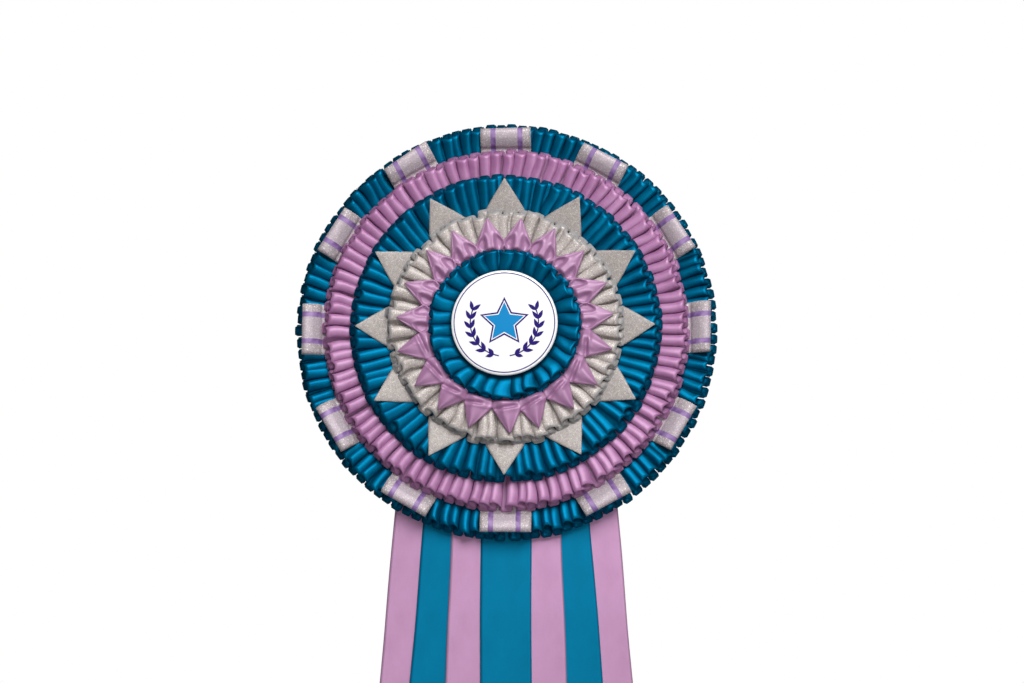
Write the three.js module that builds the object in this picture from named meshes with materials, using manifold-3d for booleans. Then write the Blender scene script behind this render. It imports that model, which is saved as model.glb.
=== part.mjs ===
// Prize rosette: five pleated ribbon tiers, twelve striped loops, twelve star points, a ring of
// folded points, a button badge, seven hanging tails and a bar pin. Millimetres, +Z up.
//
// The rosette faces -Y and its origin is the centre of the back cover's rear face. Heights in
// the stack are written as "s", the distance forward from that face, so a point at s has y = -s.
// Around the face, angles run clockwise from the top, which is a positive turn about +Y.

import * as THREE from "three";
import { mergeVertices } from "three/addons/utils/BufferGeometryUtils.js";
import Module from "manifold-3d";

const wasm = await Module();
wasm.setup();

// ---------------------------------------------------------------- sizes

const GAP = 0.3; // clearance between pieces that touch
const SHEET = 0.4; // one layer of ribbon
const DISC_SEGMENTS = 48;

const ribbonWidth = 37.5; // the stock that the loops, star points, tails and large tiers are cut from
const narrowWidth = 25; // the stock of the innermost tier

// The round badge in the middle sets the radius from which the tiers step outwards.
const badge = { radius: 38.5, thickness: 2.9, edge: 0.9 };

// Pleated tiers from the back to the front. "reveal" is how far a tier's rim stands outside the
// next tier, or the badge, "pressed" the thickness of the flattened pleats under the next tier,
// and "rim" the height of the open pleats at the outer edge.
const tierSizes = [
  { pleats: 118, reveal: 18.5, strip: ribbonWidth, pressed: 3.6, rim: 9.5, look: "teal" },
  { pleats: 95, reveal: 20, strip: ribbonWidth, pressed: 4.6, rim: 9, look: "lilac" },
  { pleats: 78, reveal: 26.8, strip: ribbonWidth, pressed: 4.2, rim: 9.5, look: "teal" },
  { pleats: 54, reveal: 30.4, strip: ribbonWidth, pressed: 4.2, rim: 7.5, look: "silver" },
  { pleats: 30, reveal: 18.1, strip: narrowWidth, pressed: 4.5, rim: 9, look: "teal" },
];
const openBeyond = 2; // a tier's pleats open this far from the edge of what presses them
const cardSetback = 9.8; // how far pleats overhang the card that carries them
const cardLanding = 0.9; // the least that a card reaches onto the ribbon ring behind it
const cardThickness = 1.2;
const spacerInset = 5; // from a spacer's edge to the ribbon around it

const backCover = { radius: 86, thickness: 1.2 };
const board = { setback: 24.3, thickness: 2.0 }; // setback from the largest tier's rim

const centreCard = { setback: 2.5, thickness: 1.8 };

// A loop's fold stands inside the largest rim, and its root lies under the second tier.
const loop = { count: 12, foldSetback: 3.3, rootDepth: 7.8, pinch: 0.2, foldHeight: 4.6 };
// A star point reaches out from the fourth tier's rim, a folded point from the fifth tier's.
const star = { count: 12, reach: 22.3, tuck: 3.5, thickness: 0.8, apexAngle: 62 };
const foldedPoint = {
  count: 19, reach: 23.2, width: 18.6, thickness: 6, firstAngle: 8.7,
  bandThickness: 1.3, bandBite: 2.3, standOff: 1.4, tipRise: 1.3,
};

// Tails from the centre outwards: lean from the vertical, layer in the stack (0 is the rearmost)
// and length below the flex line. Both sides share these, and the centre tail has no lean.
const tailKinds = [
  { layer: 3, length: 355, look: "teal" },
  { layer: 2, length: 340, look: "lilac" },
  { layer: 1, length: 325, lean: 4.6, look: "teal" },
  { layer: 0, length: 310, lean: 5.1, look: "lilac" },
];
const tailSpread = 2.75; // half the opening between the two inner lilac tails at the rim
const tailRoot = 45; // depth below the centre at which the tails are fixed
const flexBelowRim = 3.7; // the line about which the hanging tails swing
const flexSlack = 0.35; // from the tail layers' corners to the circle they turn in
const flexClearance = 0.4; // from that circle to the fixed part of the tails
const notchDepth = 16; // swallow-tail end

const pin = {
  length: 40, height: 6, plate: 0.8, aboveCover: 14, lift: 3.4,
  hingeX: -17, eyeRadius: 1.3, eyeThickness: 1.1, eyeBore: 0.7, earBore: 0.65, earThickness: 0.8,
  rivetRadius: 0.6, rivetHead: 1.1, headThickness: 0.5,
  stemRadius: 0.55, tipX: 19.6, tipLength: 3,
  catchX: 16, catchLength: 3.4, catchRadius: 2, catchBore: 0.9, catchSlot: 1.6,
  cradleLength: 2.4, cradleWall: 0.8, cradleOpening: 50, tabReach: 4, tabThickness: 0.6,
  clearance: 0.2,
};

// ---------------------------------------------------------------- materials

const finish = (color, roughness, metalness = 0) =>
  new THREE.MeshStandardMaterial({ color, roughness, metalness });

const looks = {
  teal: () => finish(0x0088a8, 0.45),
  lilac: () => finish(0xcf9cc6, 0.45),
  silver: () => finish(0xb9b1ad, 0.4, 0.4),
  striped: () => finish(0xa99db4, 0.4, 0.3),
  greyboard: () => finish(0xb8ab94, 0.9),
  coverCard: () => finish(0xf2f0ea, 0.8),
  badge: () => finish(0xf8f8fa, 0.12),
  nickel: () => finish(0xb8bac0, 0.3, 1),
};

// ---------------------------------------------------------------- helpers

const rosette = new THREE.Group();
rosette.name = "award_rosette";

const radians = THREE.MathUtils.degToRad;
const X = new THREE.Vector3(1, 0, 0);
const Y = new THREE.Vector3(0, 1, 0);
const Z = new THREE.Vector3(0, 0, 1);
const FORWARD = new THREE.Vector3(0, -1, 0);

function add(name, geometry, look, turn = 0) {
  const mesh = new THREE.Mesh(geometry, looks[look]());
  mesh.name = name;
  mesh.rotation.y = radians(turn);
  rosette.add(mesh);
  return mesh;
}

// A geometry with its own x, y and z turned to the three given directions.
function oriented(geometry, x, y, z) {
  return geometry.applyMatrix4(new THREE.Matrix4().makeBasis(x, y, z));
}

// A flat shape drawn in X and Z, extruded forward from s.
function plate(shape, s, thickness) {
  const flat = new THREE.ExtrudeGeometry(shape, { depth: thickness, bevelEnabled: false });
  return oriented(flat, X, Z, FORWARD).translate(0, -s, 0);
}

// A solid of revolution about the rosette's axis from [radius, s] pairs. The profile runs down
// the front, out to the rim, and back along the rear, so that its faces point out.
function turned(profile, segments = DISC_SEGMENTS) {
  return new THREE.LatheGeometry(profile.map(([r, s]) => new THREE.Vector2(r, -s)), segments);
}

function disc(radius, s, thickness) {
  return turned([[0, s + thickness], [radius, s + thickness], [radius, s], [0, s]]);
}

function polygon(points) {
  return new THREE.Shape(points.map(([x, y]) => new THREE.Vector2(x, y)));
}

function toSolid(geometry) {
  geometry.deleteAttribute("normal");
  geometry.deleteAttribute("uv");
  const merged = mergeVertices(geometry, 1e-4);
  return new wasm.Manifold(new wasm.Mesh({
    numProp: 3,
    vertProperties: merged.attributes.position.array,
    triVerts: new Uint32Array(merged.index.array),
  }));
}

function toGeometry(solid) {
  const { vertProperties, triVerts } = solid.getMesh();
  const geometry = new THREE.BufferGeometry();
  geometry.setAttribute("position", new THREE.BufferAttribute(Float32Array.from(vertProperties), 3));
  geometry.setIndex(Array.from(triVerts));
  geometry.computeVertexNormals();
  return geometry;
}

const joined = (...geometries) => geometries.map(toSolid).reduce((a, b) => a.add(b));

// ---------------------------------------------------------------- the stack

// Height of a tier's open pleats above its rear plane at a radius from the axis.
function ridge(tier, radius) {
  const open = (radius - tier.openFrom) / (tier.radius - tier.openFrom);
  return tier.pressed + (tier.rim - tier.pressed) * Math.max(0, open);
}

const revealed = (list) => list.reduce((sum, { reveal }) => sum + reveal, 0);
const tiers = tierSizes.map((size, i) => {
  const radius = badge.radius + revealed(tierSizes.slice(i));
  const name = `tier_${i + 1}_ribbon`;
  return { ...size, name, radius, hole: radius - size.strip };
});
tiers.slice(1).forEach((tier, i) => {
  tier.cardRadius = Math.max(tier.radius - cardSetback, tiers[i].hole + cardLanding);
});
const [tier1, tier2, tier3, tier4, tier5] = tiers;
const bandInner = tier5.cardRadius + GAP;
const foldedRoot = tier5.radius + foldedPoint.standOff;
const bandOuter = foldedRoot + foldedPoint.bandBite;
tier1.openFrom = tier2.radius - openBeyond;
tier2.openFrom = tier3.radius - openBeyond;
tier3.openFrom = tier4.radius - openBeyond;
tier4.openFrom = bandOuter + openBeyond;
tier5.openFrom = badge.radius + openBeyond;

const tailLayers = tailKinds.length;
const layerPitch = SHEET + GAP;
const layerStart = (layer) => backCover.thickness + GAP + layer * layerPitch;
const boardRear = layerStart(tailLayers);
const boardRadius = tier1.radius - board.setback;

tier1.rear = boardRear + board.thickness + GAP;

// Under the second tier lie the two pinched layers of each loop, whose corners reach further
// out than their middle and so rest higher on the opening pleats.
const loopSeat = (u) =>
  tier1.rear + ridge(tier1, Math.hypot(u, ribbonWidth / 2)) + GAP + SHEET / 2;
const loopPinch = SHEET + loop.pinch;
const loopOutOfRim = tier2.radius + GAP;
tier2.rear = loopSeat(loopOutOfRim) + loopPinch + SHEET / 2 + GAP;

tier3.rear = tier2.rear + tier2.pressed + GAP + cardThickness + GAP;

// A star point is a flat plate that leans on the third tier's ridges, from its hidden root under
// the fourth tier to its tip.
const starRoot = tier4.radius - star.tuck;
const starTip = tier4.radius + star.reach;
const starHalfWidth = (u) => (starTip - u) * Math.tan(radians(star.apexAngle / 2));
const starSeat = (u) => tier3.rear + ridge(tier3, Math.hypot(u, starHalfWidth(u))) + GAP;
const starSlope = (starSeat(starTip) - starSeat(starRoot)) / (starTip - starRoot);
const starRear = (u) => starSeat(starRoot) + starSlope * (u - starRoot);
tier4.rear = starRear(tier4.radius + GAP) + star.thickness + GAP;

tier5.rear = tier4.rear + tier4.pressed + GAP + foldedPoint.bandThickness + GAP;

const frontOf = (tier) => tier.rear + tier.pressed;

// ---------------------------------------------------------------- cards, spacers and badge

add("back_cover_card", disc(backCover.radius, 0, backCover.thickness), "coverCard");
add("backing_board", disc(boardRadius, boardRear, board.thickness), "greyboard");

// Each card fills the space between the pressed pleats behind it and its own pleats.
[tier2, tier3, tier4, tier5].forEach((tier, i) => {
  const rear = frontOf(tiers[i]) + GAP;
  add(`tier_${i + 2}_card`, disc(tier.cardRadius, rear, tier.rear - GAP - rear), "greyboard");
});

// A corrugated card spacer fills the hole in the middle of each ribbon ring.
[tier1, tier2, tier3, tier4].forEach((tier, i) => {
  add(`spacer_${i + 1}`, disc(tier.hole - spacerInset, tier.rear, tier.pressed), "greyboard");
});

// The centre card has a hub that fills the hole of the innermost ring.
const centreRear = frontOf(tier5) + GAP;
const centreFront = centreRear + centreCard.thickness;
const centreRadius = badge.radius - centreCard.setback;
const hubRadius = tier5.hole - spacerInset;
add("centre_card", turned([
  [0, centreFront], [centreRadius, centreFront], [centreRadius, centreRear],
  [hubRadius, centreRear], [hubRadius, tier5.rear], [0, tier5.rear],
]), "greyboard");

const badgeRear = centreFront + GAP;
add("badge_disc", turned([
  [0, badgeRear + badge.thickness],
  [badge.radius * 0.55, badgeRear + badge.thickness - 0.15],
  [badge.radius * 0.9, badgeRear + badge.thickness - badge.edge * 0.6],
  [badge.radius - badge.edge * 0.3, badgeRear + badge.thickness - badge.edge * 1.4],
  [badge.radius, badgeRear + badge.edge],
  [badge.radius - badge.edge * 0.5, badgeRear],
  [0, badgeRear],
], 48), "badge");

// ---------------------------------------------------------------- pleated tiers

// A ring of box pleats: every second column of the front face is lifted into a ridge that
// opens from the pressed band out to the rim.
function pleatedRing(tier) {
  const { hole, radius, rear, pressed, rim, openFrom, pleats } = tier;
  const front = rear + pressed;
  const profile = [[hole, rear], [hole, front], [openFrom, front], [radius, front], [radius, rear], [hole, rear]];
  const rimPoint = 3; // the profile point that a ridge lifts
  const columns = 2 * pleats;
  const ring = turned(profile, columns);
  for (let column = 1; column <= columns; column += 2) {
    ring.attributes.position.setY(column * profile.length + rimPoint, -(rear + rim));
  }
  return ring;
}

for (const tier of tiers) add(tier.name, pleatedRing(tier), tier.look);

// ---------------------------------------------------------------- loops

// The outline of a strip of even thickness along a line of [along, across] points.
function stripOutline(line, thickness) {
  const sides = [[], []];
  line.forEach(([x, y], i) => {
    const [x0, y0] = line[Math.max(0, i - 1)];
    const [x1, y1] = line[Math.min(line.length - 1, i + 1)];
    const long = Math.hypot(x1 - x0, y1 - y0);
    const half = thickness / 2 / long;
    sides[0].push([x - (y1 - y0) * half, y + (x1 - x0) * half]);
    sides[1].push([x + (y1 - y0) * half, y - (x1 - x0) * half]);
  });
  return polygon([...sides[1], ...sides[0].reverse()]);
}

// One loop seen from its side: the rear leg lies on the open pleats, the fold stands at the rim
// and the front leg returns under the second tier.
function loopGeometry() {
  const root = tier2.radius - loop.rootDepth;
  const bend = loop.foldHeight / 2;
  const foldCentre = tier1.radius - loop.foldSetback - SHEET / 2 - bend;
  const foldSeat = loopSeat(foldCentre);
  const line = [[root, loopSeat(root)], [tier1.openFrom, loopSeat(tier1.openFrom)]];
  line.push([loopOutOfRim, loopSeat(loopOutOfRim)]);
  const steps = 6;
  for (let i = 0; i <= steps; i++) {
    const turn = Math.PI * (i / steps);
    line.push([foldCentre + bend * Math.sin(turn), foldSeat + bend * (1 - Math.cos(turn))]);
  }
  line.push([loopOutOfRim, loopSeat(loopOutOfRim) + loopPinch]);
  line.push([tier1.openFrom, loopSeat(tier1.openFrom) + loopPinch]);
  line.push([root, loopSeat(root) + loopPinch]);
  const strip = new THREE.ExtrudeGeometry(stripOutline(line, SHEET), { depth: ribbonWidth, bevelEnabled: false });
  return oriented(strip.translate(0, 0, -ribbonWidth / 2), Z, FORWARD, X);
}

const twoDigits = (i) => String(i + 1).padStart(2, "0");
for (let i = 0; i < loop.count; i++) {
  add(`loop_${twoDigits(i)}`, loopGeometry(), "striped", (360 / loop.count) * i);
}

// ---------------------------------------------------------------- star points

function starGeometry() {
  const half = starHalfWidth(starRoot);
  const shape = polygon([[-half, starRoot], [half, starRoot], [0, starTip]]);
  const lean = new THREE.Matrix4().set(1, 0, 0, 0, 0, 1, -starSlope, 0, 0, 0, 1, 0, 0, 0, 0, 1);
  return plate(shape, starSeat(starRoot) - starSlope * starRoot, star.thickness).applyMatrix4(lean);
}

for (let i = 0; i < star.count; i++) {
  add(`star_point_${twoDigits(i)}`, starGeometry(), "silver", (360 / star.count) * i);
}

// ---------------------------------------------------------------- ring of folded points

// Each point is a flattened cone that leans on the fourth tier, and a band under the fifth tier
// joins them.
function foldedRing() {
  const seat = frontOf(tier4) + GAP;
  const tipRadius = tier5.radius + foldedPoint.reach;
  const length = tipRadius - foldedRoot;
  const rootMiddle = seat + foldedPoint.thickness / 2;
  const tip = tier4.rear + ridge(tier4, tipRadius) + GAP + foldedPoint.tipRise;
  const slope = (tip - rootMiddle) / length;
  const lean = new THREE.Matrix4().set(1, 0, 0, 0, 0, 1, -slope, 0, 0, 0, 1, 0, 0, 0, 0, 1);
  const front = seat + foldedPoint.bandThickness;
  const band = turned(
    [[bandInner, seat], [bandInner, front], [bandOuter, front], [bandOuter, seat], [bandInner, seat]],
    4 * foldedPoint.count,
  );
  let ring = toSolid(band);
  for (let i = 0; i < foldedPoint.count; i++) {
    const cone = new THREE.ConeGeometry(foldedPoint.width / 2, length, 10);
    oriented(cone.translate(0, length / 2, 0), X, Z, FORWARD);
    cone.scale(1, foldedPoint.thickness / foldedPoint.width, 1);
    cone.applyMatrix4(lean).translate(0, -rootMiddle, foldedRoot);
    cone.rotateY(radians(foldedPoint.firstAngle + (360 / foldedPoint.count) * i));
    ring = ring.add(toSolid(cone));
  }
  return toGeometry(ring);
}

add("folded_point_ring", foldedRing(), "lilac");

// ---------------------------------------------------------------- tails

const tailPitch = ribbonWidth / 2 + tailSpread;
const flexDepth = tier1.radius + flexBelowRim;
const flexY = -(backCover.thickness + GAP + (tailLayers * layerPitch - GAP) / 2);
const flexRadius = (tailLayers * layerPitch - GAP) / 2 + flexSlack;
const innerLean = THREE.MathUtils.radToDeg(
  Math.atan((tailSpread - GAP / 2) / (tier1.radius - tailRoot)),
);

// A leaning strip between two heights, cut level at both, or with a swallow tail below.
function tailShape(side, rank, lean, top, bottom, notch) {
  const middle = (z) => side * (rank * tailPitch + (-z - tier1.radius) * Math.tan(radians(lean)));
  const half = ribbonWidth / 2;
  const points = [[middle(top) - half, top], [middle(bottom) - half, bottom]];
  if (notch) points.push([middle(bottom + notch), bottom + notch]);
  points.push([middle(bottom) + half, bottom], [middle(top) + half, top]);
  return polygon(points);
}

for (let i = -3; i <= 3; i++) {
  const rank = Math.abs(i);
  const { layer, length, look } = tailKinds[rank];
  const lean = [0, innerLean, tailKinds[2].lean, tailKinds[3].lean][rank];
  const s = layerStart(layer);
  // Offsets of the layer's two faces from the flex line: the near and the far one.
  const [near, far] = [s + flexY, s + SHEET + flexY].map(Math.abs).sort((a, b) => a - b);
  const lowerTop = Math.sqrt(flexRadius ** 2 - far ** 2) - flexDepth;
  const upperEnd = Math.sqrt((flexRadius + flexClearance) ** 2 - near ** 2) - flexDepth;
  const upper = tailShape(Math.sign(i), rank, lean, -tailRoot, upperEnd, 0);
  const lower = tailShape(Math.sign(i), rank, lean, lowerTop, -flexDepth - length, notchDepth);
  add(`tail_${i + 4}_upper`, plate(upper, s, SHEET), look);
  add(`tail_${i + 4}_lower`, plate(lower, s, SHEET), look);
}

// ---------------------------------------------------------------- bar pin

const pinZ = backCover.radius + pin.aboveCover;
const barRear = -(boardRear - GAP); // the bar's face that lies against the board
const barFace = barRear + pin.plate; // the face that carries the ears and the cradle
const pinY = barFace + pin.lift;

const box = (x0, x1, y0, y1, z0, z1) =>
  new THREE.BoxGeometry(x1 - x0, y1 - y0, z1 - z0)
    .translate((x0 + x1) / 2, (y0 + y1) / 2, (z0 + z1) / 2);
const rodX = (radius, x0, x1, sides = 12) =>
  new THREE.CylinderGeometry(radius, radius, x1 - x0, sides)
    .rotateZ(Math.PI / 2).translate((x0 + x1) / 2, 0, 0);
const rodZ = (radius, z0, z1, sides = 12) =>
  new THREE.CylinderGeometry(radius, radius, z1 - z0, sides)
    .rotateX(Math.PI / 2).translate(0, 0, (z0 + z1) / 2);

function addPinPiece(name, geometry) {
  add(name, geometry.translate(0, pinY, pinZ), "nickel");
}

const earInner = pin.eyeThickness / 2 + GAP;
const earOuter = earInner + pin.earThickness;
const bite = 0.2; // how deep joined shapes reach into one another

function barGeometry() {
  const face = -pin.lift;
  let bar = toSolid(box(-pin.length / 2, pin.length / 2, face - pin.plate, face, -pin.height / 2, pin.height / 2));
  for (const side of [-1, 1]) {
    const [z0, z1] = [earInner * side, earOuter * side].sort((a, b) => a - b);
    const foot = box(pin.hingeX - pin.eyeRadius, pin.hingeX + pin.eyeRadius, face - bite, 0, z0, z1);
    const top = rodZ(pin.eyeRadius, z0, z1).translate(pin.hingeX, 0, 0);
    bar = bar.add(joined(foot, top));
  }
  bar = bar.subtract(toSolid(rodZ(pin.earBore, -pin.height, pin.height).translate(pin.hingeX, 0, 0)));
  const inner = pin.catchRadius + pin.clearance;
  const outer = inner + pin.cradleWall;
  const [start, end] = [radians(pin.cradleOpening), radians(360 - pin.cradleOpening)];
  const section = new THREE.Shape()
    .absarc(0, 0, outer, start, end, false)
    .absarc(0, 0, inner, end, start, true);
  const cradle = oriented(
    new THREE.ExtrudeGeometry(section, { depth: pin.cradleLength, bevelEnabled: false, curveSegments: 14 }),
    Y, Z, X,
  ).translate(pin.catchX - pin.cradleLength / 2, 0, 0);
  const footHalf = pin.cradleLength / 2;
  const cradleFoot = box(
    pin.catchX - footHalf, pin.catchX + footHalf, face - bite, -inner - pin.cradleWall / 2, -outer / 2, outer / 2,
  );
  return toGeometry(bar.add(joined(cradle, cradleFoot)));
}

function stemGeometry() {
  const eye = rodZ(pin.eyeRadius, -pin.eyeThickness / 2, pin.eyeThickness / 2, 16);
  const shankEnd = pin.tipX - pin.tipLength;
  const shank = rodX(pin.stemRadius, pin.hingeX + pin.eyeRadius - bite, shankEnd);
  const point = new THREE.ConeGeometry(pin.stemRadius, pin.tipLength, 12)
    .rotateZ(-Math.PI / 2).translate(shankEnd + pin.tipLength / 2 - 0.001, 0, 0);
  const bore = rodZ(pin.eyeBore, -pin.eyeThickness, pin.eyeThickness).translate(pin.hingeX, 0, 0);
  return toGeometry(joined(eye.translate(pin.hingeX, 0, 0), shank, point).subtract(toSolid(bore)));
}

// The catch is a barrel with a slot for the stem. It rests with the slot facing away from the
// bar, so the stem can swing out, and a thumb tab turns the slot aside to lock the stem.
function catchGeometry() {
  const x1 = pin.catchX + pin.cradleLength / 2 + pin.clearance + pin.tabThickness;
  const x0 = x1 - pin.catchLength;
  const barrel = toSolid(rodX(pin.catchRadius, x0, x1, 20));
  const tab = toSolid(box(x1 - pin.tabThickness, x1, -pin.catchBore, pin.catchBore, -pin.tabReach, -pin.catchBore));
  const bore = toSolid(rodX(pin.catchBore, x0 - 1, x1 + 1));
  const slot = toSolid(box(x0 - 1, x1 + 1, 0, pin.tabReach, -pin.catchSlot / 2, pin.catchSlot / 2));
  return toGeometry(barrel.add(tab).subtract(bore).subtract(slot));
}

function rivetGeometry() {
  const end = earOuter + pin.clearance + pin.headThickness;
  const neck = end - pin.headThickness;
  const profile = [
    [0, -end], [pin.rivetHead, -end], [pin.rivetHead, -neck], [pin.rivetRadius, -neck],
    [pin.rivetRadius, neck], [pin.rivetHead, neck], [pin.rivetHead, end], [0, end],
  ];
  return new THREE.LatheGeometry(profile.map(([r, y]) => new THREE.Vector2(r, y)), 12)
    .rotateX(Math.PI / 2).translate(pin.hingeX, 0, 0);
}

addPinPiece("pin_bar", barGeometry());
addPinPiece("pin_stem", stemGeometry());
addPinPiece("pin_catch", catchGeometry());
addPinPiece("hinge_rivet", rivetGeometry());

export default rosette;
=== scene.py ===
"""Looks of the award rosette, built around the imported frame. Lengths are in millimetres until a
mesh is made; s is the distance forward from the back cover's rear face, so y = -s."""

import math

import bmesh
import bpy
import numpy as np
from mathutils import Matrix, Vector


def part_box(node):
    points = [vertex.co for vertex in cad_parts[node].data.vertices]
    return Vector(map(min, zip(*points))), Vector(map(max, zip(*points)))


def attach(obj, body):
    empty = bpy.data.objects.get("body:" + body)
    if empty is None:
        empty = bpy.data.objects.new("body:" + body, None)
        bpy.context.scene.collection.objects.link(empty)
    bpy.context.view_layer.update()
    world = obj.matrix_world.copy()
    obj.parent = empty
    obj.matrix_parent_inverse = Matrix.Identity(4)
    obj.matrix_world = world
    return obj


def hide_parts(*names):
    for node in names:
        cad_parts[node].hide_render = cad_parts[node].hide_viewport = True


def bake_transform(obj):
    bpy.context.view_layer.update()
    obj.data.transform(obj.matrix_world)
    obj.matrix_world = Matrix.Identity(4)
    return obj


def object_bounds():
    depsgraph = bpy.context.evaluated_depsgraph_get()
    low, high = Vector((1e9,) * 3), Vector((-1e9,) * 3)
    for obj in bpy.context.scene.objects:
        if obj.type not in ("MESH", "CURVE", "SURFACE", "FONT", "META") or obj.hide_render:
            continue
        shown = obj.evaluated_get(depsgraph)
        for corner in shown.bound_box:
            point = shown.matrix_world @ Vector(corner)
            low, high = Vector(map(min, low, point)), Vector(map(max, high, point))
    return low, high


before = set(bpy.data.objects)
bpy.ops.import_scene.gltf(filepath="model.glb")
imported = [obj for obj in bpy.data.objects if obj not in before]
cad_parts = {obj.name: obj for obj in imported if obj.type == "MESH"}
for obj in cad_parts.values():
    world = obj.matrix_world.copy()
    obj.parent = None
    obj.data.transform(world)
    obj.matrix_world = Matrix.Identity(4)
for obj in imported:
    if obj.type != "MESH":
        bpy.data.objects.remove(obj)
CAD_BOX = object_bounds()

MM = 0.001
TAU = 2 * math.pi
CM = 10  # a centimetre, in millimetres
SHEET = 0.28  # thickness of one layer of ribbon
WIDE, NARROW = 37.5, 25.0  # ribbon stock


# ------------------------------------------------------------------ frame in millimetres


def span(node):
    """(low, high) corners of a node in millimetres, as arrays."""
    low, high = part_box(node)
    return np.array(low) / MM, np.array(high) / MM


def radius_of(node):
    low, high = span(node)
    return (high[0] - low[0]) / 2


def rear_of(node):
    return -span(node)[1][1]


def front_of(node):
    return -span(node)[0][1]


# ------------------------------------------------------------------ small maths


def smooth(x):
    x = np.clip(x, 0, 1)
    return x * x * (3 - 2 * x)


def peak(x, width):
    return np.exp(-((x / width) ** 2))


def drift(u, values):
    """Smooth closed curve through one random value for each whole step of u."""
    u = np.asarray(u, float)
    n = len(values)
    i = np.floor(u).astype(int)
    f = smooth(u - i)
    return values[i % n] * (1 - f) + values[(i + 1) % n] * f


def polar(angle, r, s):
    """A point at a clockwise angle from the top, a radius and a height in the stack."""
    return np.stack(np.broadcast_arrays(r * np.sin(angle), -s, r * np.cos(angle)), axis=-1)


# ------------------------------------------------------------------ meshes


def new_object(name, points, faces, uvs=None):
    """A smooth mesh. uvs is one (u, v) for each face corner, in centimetres of ribbon."""
    mesh = bpy.data.meshes.new(name)
    mesh.from_pydata((np.asarray(points, float) * MM).tolist(), [], faces)
    if uvs is not None:
        layer = mesh.uv_layers.new(name="UVMap")
        layer.data.foreach_set("uv", np.asarray(uvs, np.float32).ravel())
    mesh.polygons.foreach_set("use_smooth", [True] * len(mesh.polygons))
    mesh.update()
    obj = bpy.data.objects.new(name, mesh)
    bpy.context.scene.collection.objects.link(obj)
    return obj


def normals_of(P, closed):
    """Unit normals of a grid of points."""
    if closed:
        di = np.roll(P, -1, axis=0) - np.roll(P, 1, axis=0)
    else:
        di = np.gradient(P, axis=0)
    n = np.cross(di, np.gradient(P, axis=1))
    return n / np.maximum(np.linalg.norm(n, axis=2, keepdims=True), 1e-9)


def grid_object(name, P, along, across, closed=False, thickness=SHEET):
    """A sheet of cloth about a grid P[i, j] of points: i runs along the ribbon and j across it.
    along[i, j] and across[i, j] are millimetres of cloth; a closed grid has one more row of
    along. The cut rims are flat shaded, so that the faces' shading doesn't roll over them."""
    ni, nj = P.shape[:2]
    half = normals_of(P, closed) * thickness / 2
    points = np.concatenate([(P - half).reshape(-1, 3), (P + half).reshape(-1, 3)])
    other = ni * nj
    rows = ni if closed else ni - 1
    i, j = np.meshgrid(np.arange(rows), np.arange(nj - 1), indexing="ij")
    i, j = i.ravel(), j.ravel()
    k = (i + 1) % ni
    quad = np.stack([i * nj + j, i * nj + j + 1, k * nj + j + 1, k * nj + j], axis=-1)
    uv = np.stack([along / CM, across / CM], axis=-1)
    quad_uv = np.stack([uv[i, j], uv[i, j + 1], uv[i + 1, j + 1], uv[i + 1, j]], axis=1)
    sets, uvs = [quad, quad[:, ::-1] + other], [quad_uv, quad_uv[:, ::-1]]
    i = np.arange(rows)
    k = (i + 1) % ni
    for edge in (0, nj - 1):
        p, q = i * nj + edge, k * nj + edge
        rim = np.stack([p, q, q + other, p + other], axis=-1)
        rim_uv = np.stack([uv[i, edge], uv[i + 1, edge], uv[i + 1, edge], uv[i, edge]], axis=1)
        sets.append(rim if edge == 0 else rim[:, ::-1])
        uvs.append(rim_uv if edge == 0 else rim_uv[:, ::-1])
    if not closed:
        j = np.arange(nj - 1)
        for edge in (0, ni - 1):
            p, q = edge * nj + j, edge * nj + j + 1
            rim = np.stack([p, q, q + other, p + other], axis=-1)
            rim_uv = np.stack([uv[edge, j], uv[edge, j + 1], uv[edge, j + 1], uv[edge, j]], axis=1)
            sets.append(rim[:, ::-1] if edge == 0 else rim)
            uvs.append(rim_uv[:, ::-1] if edge == 0 else rim_uv)
    faces = np.concatenate(sets)
    obj = new_object(name, points, faces.tolist(), np.concatenate(uvs).reshape(-1, 2))
    shading = np.ones(len(faces), bool)
    shading[2 * len(quad):] = False
    obj.data.polygons.foreach_set("use_smooth", shading)
    return obj


def cloth_lengths(P, closed):
    """Millimetres of cloth along i and across j at each grid point."""
    Q = np.concatenate([P, P[:1]]) if closed else P
    step = np.linalg.norm(np.diff(Q, axis=0), axis=2)
    along = np.concatenate([np.zeros((1, P.shape[1])), np.cumsum(step, axis=0)])
    wide = np.linalg.norm(np.diff(Q, axis=1), axis=2)
    across = np.concatenate([np.zeros((Q.shape[0], 1)), np.cumsum(wide, axis=1)], axis=1)
    return along, across


def turned_object(name, profile, segments):
    """A solid of revolution about the rosette's axis from (radius, s) pairs that run from the
    axis at the front to the axis at the rear."""
    ring = [(r, s) for r, s in profile if r > 0]
    angles = np.arange(segments) * TAU / segments
    points = [polar(angles, r, s) for r, s in ring]
    points = np.concatenate(points + [[[0, -profile[0][1], 0]], [[0, -profile[-1][1], 0]]])
    first, last = len(ring) * segments, len(ring) * segments + 1
    faces = []
    for a in range(segments):
        b = (a + 1) % segments
        faces.append([first, a, b])
        for row in range(len(ring) - 1):
            top, low = row * segments, (row + 1) * segments
            faces.append([top + a, low + a, low + b, top + b])
        end = (len(ring) - 1) * segments
        faces.append([end + b, end + a, last])
    obj = new_object(name, points, faces)
    facing = bmesh.new()
    facing.from_mesh(obj.data)
    bmesh.ops.recalc_face_normals(facing, faces=facing.faces)
    facing.to_mesh(obj.data)
    facing.free()
    return obj


def place(obj, body, material, slot, *nodes):
    """Gives a piece its material, its body and the nodes that it stands for. The slot is not used."""
    obj.data.materials.clear()
    obj.data.materials.append(material)
    if body:
        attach(obj, body)
    if nodes:
        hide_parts(*nodes)


# ------------------------------------------------------------------ materials


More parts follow.
